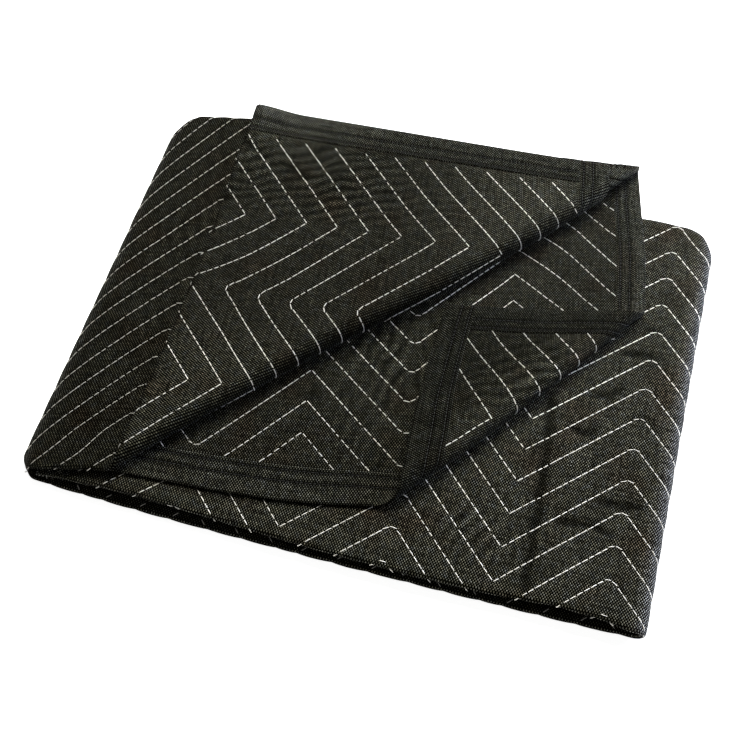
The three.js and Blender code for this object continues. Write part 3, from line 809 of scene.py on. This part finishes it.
def woven_cloth(name, crown, cool, brown, gap, roughness):
    """A weave of yarn in three hues: painted highlight on its crowns, painted shade near black in its
    gaps, and each place's painted tone.
    """
    material, tree = empty_material(name)
    uv = add(tree, "ShaderNodeUVMap", uv_map="flat_cloth").outputs[0]

    def patches(size, detail, limits):
        scale = (1 / size[0], 1 / size[1], 0)
        place = add(tree, "ShaderNodeVectorMath", {0: uv, 1: scale}, operation="MULTIPLY").outputs[0]
        noise = add(tree, "ShaderNodeTexNoise", {"Vector": place, "Scale": 1.0, "Detail": detail})
        return ranged(tree, noise.outputs[0], *limits)

    flat = add(tree, "ShaderNodeSeparateXYZ", {0: uv}).outputs
    # Painted highlight on the crowns of the weave and painted shade in its gaps.
    turns = [maths(tree, "MULTIPLY", flat[axis], np.pi / YARN[axis]) for axis in (0, 1)]
    weave = maths(tree, "MULTIPLY", *(maths(tree, "SINE", turn) for turn in turns))
    weave = maths(tree, "MAXIMUM", weave)
    share = maths(tree, "POWER", weave, CROWN_POWER)
    for size, detail, limits, least in STREAKS:
        streak = maths(tree, "ADD", patches(size, detail, limits), least)
        share = maths(tree, "MULTIPLY", share, streak)
    # The tone attribute brings in each place's painted shade and highlight.
    tone = add(tree, "ShaderNodeAttribute", attribute_name="tone").outputs["Fac"]
    share = maths(tree, "MULTIPLY", share, tone)
    yarn = linear(crown)
    for colour, patch in ((cool, COOL_PATCH), (brown, BROWN_PATCH)):
        yarn = blended(tree, patches(*patch), yarn, linear(colour))
    # Painted sheen, pale grey where the tone is brightest.
    yarn = blended(tree, ranged(tree, tone, *SHEEN_PAINT_TONE), yarn, linear(SHEEN_PAINT))
    bump = add(tree, "ShaderNodeBump", {**WEAVE_BUMP, "Height": weave}).outputs[0]
    half_share = maths(tree, "MULTIPLY", share, 0.5)
    surface(
        tree,
        {
            "Base Color": blended(tree, share, linear(gap), yarn),
            "Roughness": roughness,
            "Specular IOR Level": half_share,
            "Sheen Weight": half_share,
            "Sheen Roughness": 0.4,
            "Sheen Tint": linear(SHEEN),
            "Normal": bump,
        },
    )
    return material


panel = quilted_panel()
panel.data.materials.append(
    woven_cloth("woven polypropylene", "#918f76", "#858a86", "#84755a", "#030302", 0.6)
)
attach(panel, "root")
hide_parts("quilted_panel")

# Bindings
# Black woven tape, lapped over each edge of the pad and sewn down with two rows of dark thread.
# The long tapes run into the corners over the ends of the short ones.
TAPE_THICK = 0.0006
TAPE_GAP = 0.00055
LAP_MIDDLE = HEM_THICK / 2 + TAPE_GAP + TAPE_THICK / 2
LAP_END = LAP_MIDDLE + TAPE_THICK / 2
LAP_TURN = np.pi * LAP_MIDDLE / 2
CORNER_CLEAR = TAPE_WIDTH + TAPE_GAP + 0.001
TAPE_STEP = 0.0025
# Tape brightness by part, painted shade and highlight: darkest past the back fold, brightest at the
# first flap's tip.
TAPE_TONE = {"inside": 0.6, "flap": 0.5, "tip": 0.95, "corner": 0.29}
TIP_REACH = (0.20, 0.42)
HIDDEN_STEP = 0.008
SEAM_ROWS = (0.0168, 0.0275)
SEAM_WIDTH = 0.0042
SEAM_DEPTH = 0.0006
# Painted shadow along the sewn rows: the share of the tone taken away there.
SEAM_SHADE = 1.0
# The tape cockles between its edges: size of its ripples, their height, and where they fade inward.
RIPPLE = {"along": 0.013, "across": 0.020, "height": 0.00035, "rise": (0, 0.006), "fall": (0.026, 0.030)}
RIPPLE_SEED = 7
RIPPLE_ROW = 9
LAP_STEPS = 7
SIDE_STEPS = 7
SEAM_STEPS = (-1, -0.5, 0, 0.5, 1)


def seam_share(inward):
    """1 on the sewn rows of a tape, down to 0 beside them."""
    return sum(np.exp(-(((inward - row) / (SEAM_WIDTH / 2)) ** 2)) for row in SEAM_ROWS)


def lapped(along, across, out):
    """Distance inward from the cloth's edge and height off its middle, for a tape lapped round it."""
    angle = np.minimum(np.abs(across), LAP_TURN) / LAP_TURN * np.pi / 2
    inward = np.maximum(0, np.abs(across) - LAP_TURN)
    out = out - SEAM_DEPTH * seam_share(inward)
    ripple = lattice_noise(along / RIPPLE["along"], across / RIPPLE["across"] + RIPPLE_ROW, RIPPLE_SEED)
    loose = eased(inward, *RIPPLE["rise"]) * (1 - eased(inward, *RIPPLE["fall"]))
    radius = LAP_MIDDLE + out + RIPPLE["height"] * ripple * loose
    return inward - radius * np.cos(angle), np.sign(across) * radius * np.sin(angle)


def tape_tone(t, across):
    """How bright a tape is: painted highlight at the first flap's tip, painted shadow near black on its
    sewn rows.
    """
    flap = mixed(TAPE_TONE["flap"], TAPE_TONE["tip"], eased(t, *TIP_REACH))
    tone = np.where(t < T_BACK, flap, TAPE_TONE["corner"])
    tone = np.where(across < 0, TAPE_TONE["inside"], tone)
    return tone * (1 - SEAM_SHADE * seam_share(np.maximum(0, np.abs(across) - LAP_TURN)))


def binding(name, stations, flat_at):
    """A tape along an edge: its steps along, and what gives s and t from along and inward."""
    rows = [row + SEAM_WIDTH * part for row in SEAM_ROWS for part in SEAM_STEPS]
    side = LAP_TURN + np.union1d(np.linspace(0, TAPE_WIDTH, SIDE_STEPS), rows)
    lap = np.linspace(-LAP_TURN, LAP_TURN, LAP_STEPS)
    section = np.concatenate([-side[:0:-1], lap, side[1:]])
    along, across = np.meshgrid(stations, section, indexing="ij")
    points, flats = [], []
    for out in (TAPE_THICK / 2, -TAPE_THICK / 2):
        inward, w = lapped(along, across, out)
        s, t = flat_at(along, inward)
        points.append(placed(s, t, w).reshape(-1, 3))
        flats.append(np.stack([along, across], axis=-1).reshape(-1, 2))
    count = along.size
    numbers = np.arange(count).reshape(along.shape)
    quads = [numbers[:-1, :-1], numbers[1:, :-1], numbers[1:, 1:], numbers[:-1, 1:]]
    quads = np.stack(quads, -1).reshape(-1, 4)
    rim = rim_of(numbers)
    after = np.roll(rim, -1)
    walls = np.stack([after, rim, rim + count, after + count], -1)
    faces = np.concatenate([quads, quads[:, ::-1] + count, walls])
    _, t = flat_at(along, 0 * along)
    tone = np.tile(tape_tone(t, across).ravel(), 2)
    return sheet_mesh(name, np.concatenate(points), faces.tolist(), np.concatenate(flats), tone)


def steps(low, high, step):
    return np.linspace(low, high, int(np.ceil((high - low) / step)) + 1)


def long_steps(hidden_until):
    """Steps of a long tape, coarse where it lies inside the parcel."""
    coarse = steps(-LAP_END, hidden_until, HIDDEN_STEP)
    return np.concatenate([coarse[:-1], steps(hidden_until, LENGTH + LAP_END, TAPE_STEP)])


BINDINGS = (
    ("binding_front", steps(-LAP_END, LENGTH + LAP_END, TAPE_STEP), lambda a, i: (a, WIDTH - i)),
    ("binding_inner", long_steps(S_TOP), lambda a, i: (a, i)),
    ("binding_end", steps(CORNER_CLEAR, WIDTH - CORNER_CLEAR, TAPE_STEP), lambda a, i: (LENGTH - i, a)),
    ("binding_tucked", steps(CORNER_CLEAR, WIDTH - CORNER_CLEAR, HIDDEN_STEP), lambda a, i: (i, a)),
)
tape_cloth = woven_cloth("woven binding tape", "#868672", "#7c7f7c", "#7c7662", "#030302", 0.65)
for name, stations, flat_at in BINDINGS:
    tape = binding(name + "_tape", stations, flat_at)
    tape.data.materials.append(tape_cloth)
    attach(tape, "root")
    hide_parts(name)

# Quilting thread
# White spun polyester, sewn through cloth and padding as a running lockstitch. Each stitch lies on
# the face as a short dash and dips into the cloth at its ends.
STITCH_PITCH = 0.0073
STITCH_LENGTH = 0.0062
THREAD_RADIUS = 0.00044
THREAD_LIFT = 0.0004
# Painted shade on the thread, after the cloth's painted tone: its least and its share.
THREAD_TONE = {"least": 0.25, "share": 0.8}
STITCH_DIP = 0.0004
# Each stitch differs a little from the next: its least and most share of length, width and height.
STITCH_LEAST = (0.84, 0.9, 1.0)
STITCH_MOST = (1.1, 1.05, 1.0)
SAMPLE_STEP = 0.0012
UP_STEP = 0.0005
# Samples left off at each end of a stretch of stitches, and the fewest that are sewn.
STITCH_CLEAR = 2
FEWEST = 5
# The rows stop short of the bindings, and further from the one that ends the first flap.
TAPE_CLEAR = 0.0015
FLAP_END = 0.0365
ROW_ROUNDS = 12


def polyline_object(name, runs):
    """Loose edges through runs of points, with the way up from the cloth and the tone as attributes."""
    points, ups, tones = (np.concatenate(rows) for rows in zip(*runs))
    edges, start = [], 0
    for run, _, _ in runs:
        edges += [(start + k, start + k + 1) for k in range(len(run) - 1)]
        start += len(run)
    mesh = bpy.data.meshes.new(name)
    mesh.from_pydata(points.tolist(), edges, [])
    store(mesh, "tone", "FLOAT", "value", tones)
    store(mesh, "up", "FLOAT_VECTOR", "vector", ups)
    return linked(name, mesh)


def stitch_tree():
    """Geometry Nodes that lay a bowed stitch at each step along the edges of a mesh."""
    tree = bpy.data.node_groups.new("running stitch", "GeometryNodeTree")
    sockets = {
        "Geometry": "Geometry",
        "Pitch": "Float",
        "Stitch Length": "Float",
        "Thread Radius": "Float",
        "Dip": "Float",
        "Seed": "Int",
        "Material": "Material",
    }
    for name, kind in sockets.items():
        tree.interface.new_socket(name, in_out="INPUT", socket_type="NodeSocket" + kind)
    tree.interface.new_socket("Geometry", in_out="OUTPUT", socket_type="NodeSocketGeometry")
    given = add(tree, "NodeGroupInput").outputs
    line = add(tree, "GeometryNodeMeshToCurve", {0: given["Geometry"]}).outputs[0]
    spacing = {"Curve": line, "Length": given["Pitch"]}
    spaced = add(tree, "GeometryNodeResampleCurve", spacing, mode="LENGTH").outputs[0]
    half = maths(tree, "MULTIPLY", given["Stitch Length"], 0.5)
    back = maths(tree, "MULTIPLY", half, -1.0)
    down = maths(tree, "MULTIPLY", given["Dip"], -1.0)
    ends = {
        "Start": add(tree, "ShaderNodeCombineXYZ", {"X": back, "Z": down}).outputs[0],
        "Middle": add(tree, "ShaderNodeCombineXYZ", {"Z": given["Dip"]}).outputs[0],
        "End": add(tree, "ShaderNodeCombineXYZ", {"X": half, "Z": down}).outputs[0],
    }
    bow = add(tree, "GeometryNodeCurveQuadraticBezier", {"Resolution": 4, **ends}).outputs[0]
    round_thread = {"Resolution": 6, "Radius": given["Thread Radius"]}
    ring = add(tree, "GeometryNodeCurvePrimitiveCircle", round_thread).outputs[0]
    thread = {"Curve": bow, "Profile Curve": ring, "Fill Caps": True}
    stitch = add(tree, "GeometryNodeCurveToMesh", thread).outputs[0]
    up = add(tree, "GeometryNodeInputNamedAttribute", {"Name": "up"}, data_type="FLOAT_VECTOR")
    ways = {0: add(tree, "GeometryNodeInputTangent").outputs[0], 1: up.outputs[0]}
    facing = add(tree, "FunctionNodeAxesToRotation", ways, primary_axis="X", secondary_axis="Z")
    sizes = {0: STITCH_LEAST, 1: STITCH_MOST, "Seed": given["Seed"]}
    size = add(tree, "FunctionNodeRandomValue", sizes, data_type="FLOAT_VECTOR").outputs[0]
    laying = {"Points": spaced, "Instance": stitch, "Rotation": facing.outputs[0], "Scale": size}
    laid = add(tree, "GeometryNodeInstanceOnPoints", laying).outputs[0]
    real = add(tree, "GeometryNodeRealizeInstances", {0: laid}).outputs[0]
    dyed = add(tree, "GeometryNodeSetMaterial", {"Geometry": real, "Material": given["Material"]})
    add(tree, "NodeGroupOutput", {0: dyed.outputs[0]})
    return tree


STITCHES = stitch_tree()


def sewn(name, runs, sizes, material):
    """A piece of stitches along runs of points, as a plain mesh."""
    obj = polyline_object(name, runs)
    modifier = obj.modifiers.new("stitches", "NODES")
    modifier.node_group = STITCHES
    sockets = [item for item in STITCHES.interface.items_tree if item.in_out == "INPUT"]
    inputs = {item.name: item.identifier for item in sockets}
    for key, value in {**sizes, "Material": material}.items():
        modifier[inputs[key]] = value
    evaluated = obj.evaluated_get(bpy.context.evaluated_depsgraph_get())
    mesh = bpy.data.meshes.new_from_object(evaluated)
    obj.modifiers.clear()
    obj.data = mesh
    mesh.shade_smooth()
    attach(obj, "root")
    return obj


def thread_tone(s, t, side):
    """The thread takes the painted shade and highlight of the cloth that it lies on."""
    tone = THREAD_TONE["least"] + THREAD_TONE["share"] * cloth_tone(s, t, side) / TONE["plain"]
    return np.clip(tone, 0, 1)


def runs_where(s, t, w, keep, side, corners=()):
    """Placed stretches of a flat line where keep holds, with the way up from that side of the cloth."""
    point = placed(s, t, w)
    up = placed(s, t, w + side * UP_STEP) - point
    breaks = np.flatnonzero(np.diff(keep.astype(int))) + 1
    stretches = np.split(np.arange(len(s)), np.union1d(breaks, corners).astype(int))
    stretches = [n[STITCH_CLEAR : len(n) - STITCH_CLEAR] for n in stretches]
    tone = thread_tone(s, t, side)
    return [(point[n], up[n], tone[n]) for n in stretches if len(n) >= FEWEST and keep[n[0]]]


def stitched(s, t, side):
    """True where stitches show, off the bottom group's folds, which are too tight for them."""
    along = leant(s, t)
    return shown(s, t, side) & ~(side_fold(s, t) & (along >= S_BOTTOM) & (along < S_LEFT))


def quilting_runs(side, where):
    """Runs of points along the sewn rows of a face, broken at the sharp corners."""
    s = steps(0, LENGTH, SAMPLE_STEP)
    rows = range(int(row_at(s, 0).min()), int(row_at(s, WIDTH).max()) + 1)
    runs = []
    for row in rows:
        t = FIRST_ROW + row * ROW - zigzag_drop(s)
        for _ in range(ROW_ROUNDS):
            along, rows_on = drift(s, t)
            t = FIRST_ROW + (row - rows_on) * ROW - zigzag_drop(s - along)
        inside = edge_distance(s, t) > TAPE_WIDTH + TAPE_CLEAR
        keep = inside & ((LENGTH - s > FLAP_END) | (t > T_FRONT)) & where(s, t)
        if keep.any():
            height = face_height(s, t, side) + side * THREAD_LIFT
            corners = np.searchsorted(s - along, COLUMN_S[COUNT % 2 == 1])
            runs += runs_where(s, t, height, keep, side, corners)
    return runs


# Spun polyester: twisted fibres, pale and matt, greyer where the thread has picked up dust.
DUST = {"size": 0.03, "detail": 3, "range": (0.35, 0.75)}
TWIST = 0.0007
TWIST_BUMP = {"Strength": 0.4, "Distance": 0.0002}


def spun_thread(name, bright, dull, roughness):
    material, tree = empty_material(name)
    place = add(tree, "ShaderNodeTexCoord").outputs["Object"]

    def noise(size, **inputs):
        return add(tree, "ShaderNodeTexNoise", {"Vector": place, "Scale": 1 / size, **inputs}).outputs[0]

    dust = ranged(tree, noise(DUST["size"], Detail=DUST["detail"]), *DUST["range"])
    colour = blended(tree, dust, linear(bright), linear(dull))
    # The tone darkens the thread: painted shade.
    tone = add(tree, "ShaderNodeAttribute", attribute_name="tone").outputs["Fac"]
    colour = add(tree, "ShaderNodeVectorMath", {0: colour, 3: tone}, operation="SCALE").outputs[0]
    bump = add(tree, "ShaderNodeBump", {**TWIST_BUMP, "Height": noise(TWIST)}).outputs[0]
    surface(tree, {"Base Color": colour, "Roughness": roughness, "Sheen Weight": 0.2, "Normal": bump})
    return material


white_thread = spun_thread("white spun polyester", "#fbf9f0", "#dedace", 0.75)
QUILT_STITCH = {
    "Pitch": STITCH_PITCH,
    "Stitch Length": STITCH_LENGTH,
    "Thread Radius": THREAD_RADIUS,
    "Dip": STITCH_DIP,
    "Seed": 4,
}
top_runs = quilting_runs(1, lambda s, t: stitched(s, t, 1))
top_runs += quilting_runs(-1, lambda s, t: stitched(s, t, -1))
under_runs = quilting_runs(1, underside)
threads = [
    sewn("quilting_thread_top", top_runs, QUILT_STITCH, white_thread),
    sewn("quilting_thread_under", under_runs, QUILT_STITCH, white_thread),
]

# Binding thread
# Black spun polyester, in two rows of small stitches along each tape. It holds the tape's two sides
# together through the edge of the pad, and is sunk a little into them.
SEAM_STITCH = {
    "Pitch": 0.0042,
    "Stitch Length": 0.0034,
    "Thread Radius": 0.0003,
    "Dip": 0.0003,
    "Seed": 6,
}
dark_thread = spun_thread("black spun polyester", "#16150f", "#0a0906", 0.8)
seam_runs = []
for name, stations, flat_at in BINDINGS:
    along = steps(stations[0], stations[-1], SAMPLE_STEP)
    for side in (1, -1):
        for row in SEAM_ROWS:
            inward, w = lapped(along, side * np.full_like(along, row + LAP_TURN), TAPE_THICK / 2)
            s, t = flat_at(along, inward)
            seam_runs += runs_where(s, t, w, shown(s, t, side), side)
seams = sewn("binding_thread", seam_runs, SEAM_STITCH, dark_thread)

# Studio
# A plain pale floor, with one broad soft light above the back and a low cool one at the right.
# The pad is seen from above its front, a little from the right, as in the photo.
FLOOR_SIZE = 12
FLOOR_DROP = 0.0004
floor_mesh = bpy.data.meshes.new("floor")
sides = ((-1, -1), (1, -1), (1, 1), (-1, 1))
floor_points = [(x * FLOOR_SIZE / 2, y * FLOOR_SIZE / 2, -FLOOR_DROP) for x, y in sides]
floor_mesh.from_pydata(floor_points, [], [(0, 1, 2, 3)])
floor = linked("floor", floor_mesh)
# Paper: matt and white, lit up so that it goes over into the white behind.
paper, paper_tree = empty_material("white paper sweep")
surface(
    paper_tree,
    {
        "Base Color": linear("#f4f4f2"),
        "Roughness": 0.9,
        "Emission Color": linear("#ffffff"),
        "Emission Strength": 0.9,
    },
)
floor_mesh.materials.append(paper)

world = bpy.data.worlds.new("studio")
world.use_nodes = True
background = world.node_tree.nodes["Background"].inputs
background["Color"].default_value = linear("#ffffff")
background["Strength"].default_value = 0.12
bpy.context.scene.world = world
bpy.context.scene.view_settings.view_transform = "Standard"


def aimed(obj, place, aim):
    """Puts a light or a camera in its place, turned to what it looks at."""
    obj.location = place
    obj.rotation_mode = "QUATERNION"
    obj.rotation_quaternion = (Vector(aim) - Vector(place)).to_track_quat("-Z", "Y")


def softbox(name, place, aim, size, power, colour):
    light = bpy.data.lights.new(name, "AREA")
    light.size = size
    light.energy = power
    light.color = linear(colour)[:3]
    aimed(linked(name, light), place, aim)


softbox("key", (0.1, 1.6, 1.9), (0, 0, 0), 1.4, 120, "#fffdf6")
softbox("side panel", (1.5, 0.9, 0.45), (0.2, 0, 0), 0.8, 55, "#dae4ff")

LENS = 56.87
EYE = (0.15095, -0.57700, 1.05475)
AIM = (-0.00511, -0.02627, 0)
camera = linked("camera", bpy.data.cameras.new("camera"))
camera.data.lens = LENS
aimed(camera, EYE, AIM)
bpy.context.scene.camera = camera
